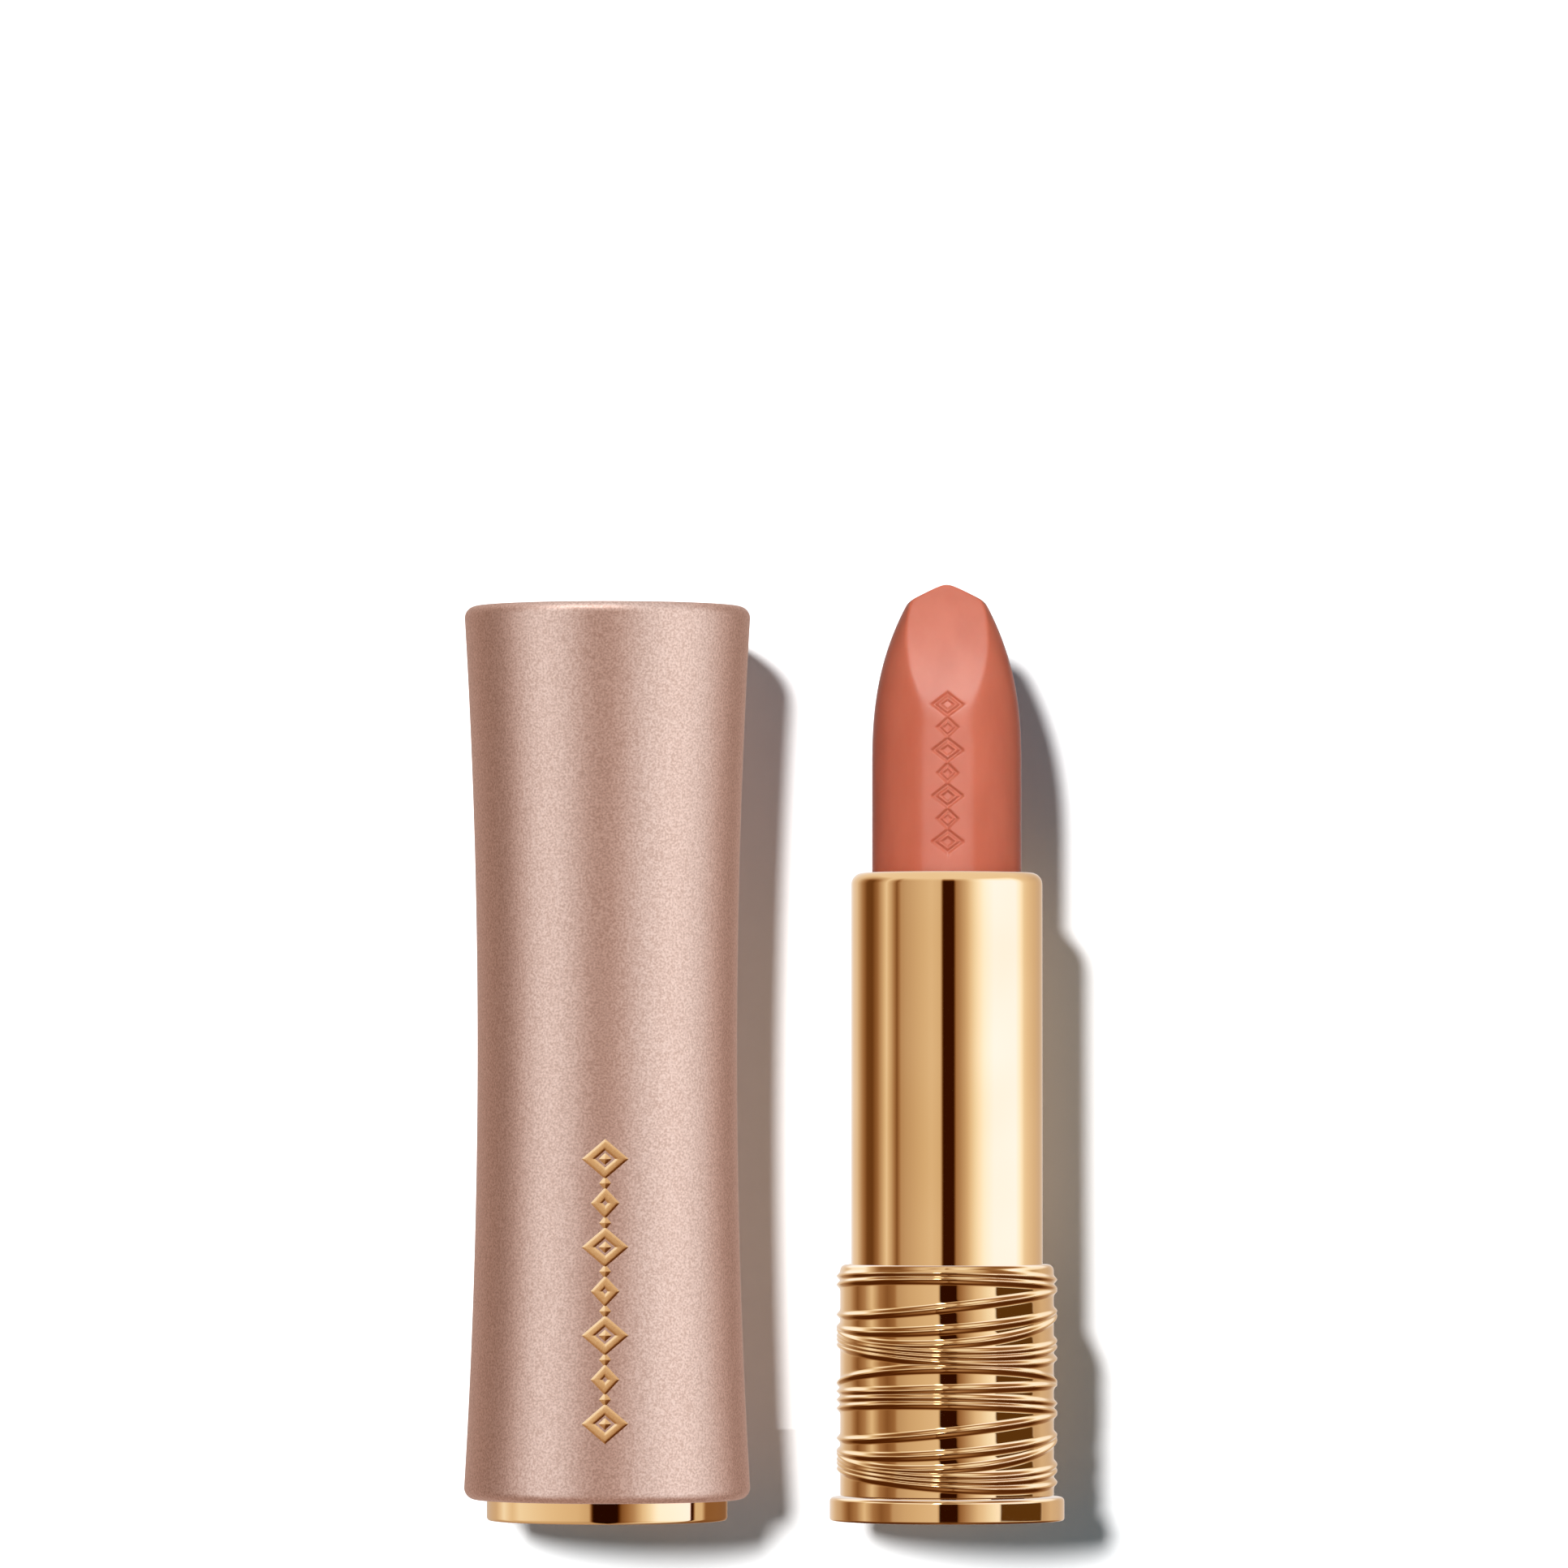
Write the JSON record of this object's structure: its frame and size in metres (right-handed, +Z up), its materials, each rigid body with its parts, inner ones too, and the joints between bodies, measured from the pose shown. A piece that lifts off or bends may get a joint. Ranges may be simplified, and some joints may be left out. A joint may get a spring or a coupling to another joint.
{
  "type": "lipstick case",
  "caption": "Twist-up lipstick in a polished gold case wound with raised strands, standing open beside its waisted satin cap with a push release.",
  "frame": {"origin": "centre of the underside of the case's foot, on the axis the case twists about", "axes": "+Z up along the case, -Y towards the front (the side of the ornament and of the bullet's flat), +X to the right; the cap stands mouth down to the left, at negative X"},
  "size_m": [0.0486, 0.0232, 0.0758],
  "materials": {
    "polished_gold": "mirror-polished, gold anodised",
    "satin_rose_gold": "satin rose-gold lacquer with a fine grain",
    "coral_lipstick": "satin wax",
    "ivory_plastic": "moulded",
    "black_plastic": "moulded",
    "steel": "turned",
    "brake_rubber": "greased",
    "label_card": "blank printed label"
  },
  "bodies": {
    "base": {"foot_plate": "polished_gold", "shade_label": "label_card", "grip_shell": "polished_gold", "base_insert": "black_plastic", "base_weight": "steel", "guide_tube": "ivory_plastic", "brake_ring": "brake_rubber"},
    "sleeve": {"outer_sleeve": "polished_gold", "cam_tube": "ivory_plastic"},
    "carrier": {"carrier_cup": "ivory_plastic", "bullet": "coral_lipstick"},
    "cap": {"cap_shell": "satin_rose_gold", "cap_liner": "black_plastic", "cap_mouth_ring": "polished_gold", "cap_emblem": "polished_gold"},
    "button": {"push_button": "satin_rose_gold", "ejector": "black_plastic", "button_spring": "steel"}
  },
  "joints": [
    {"name": "sleeve_twist", "type": "hinge", "parent": "base", "child": "sleeve", "pos_m": [0, 0, 0.03], "axis": [0, 0, 1], "range_deg": [0, 450]},
    {"name": "carrier_slide", "type": "slide", "parent": "base", "child": "carrier", "axis": [0, 0, 1], "range_m": [-0.025, 0]},
    {"name": "cap_lift", "type": "slide", "parent": "base", "child": "cap", "axis": [0, 0, 1], "range_m": [0, 0.078]},
    {"name": "button_press", "type": "slide", "parent": "cap", "child": "button", "axis": [0, 0, 1], "range_m": [-0.002, 0], "stiffness_N_per_m": 800, "deforming": ["button_spring"]}
  ],
  "couplings": [
    {"joint": "carrier_slide", "follows": "sleeve_twist", "m_per_rad": -0.0031831}
  ]
}
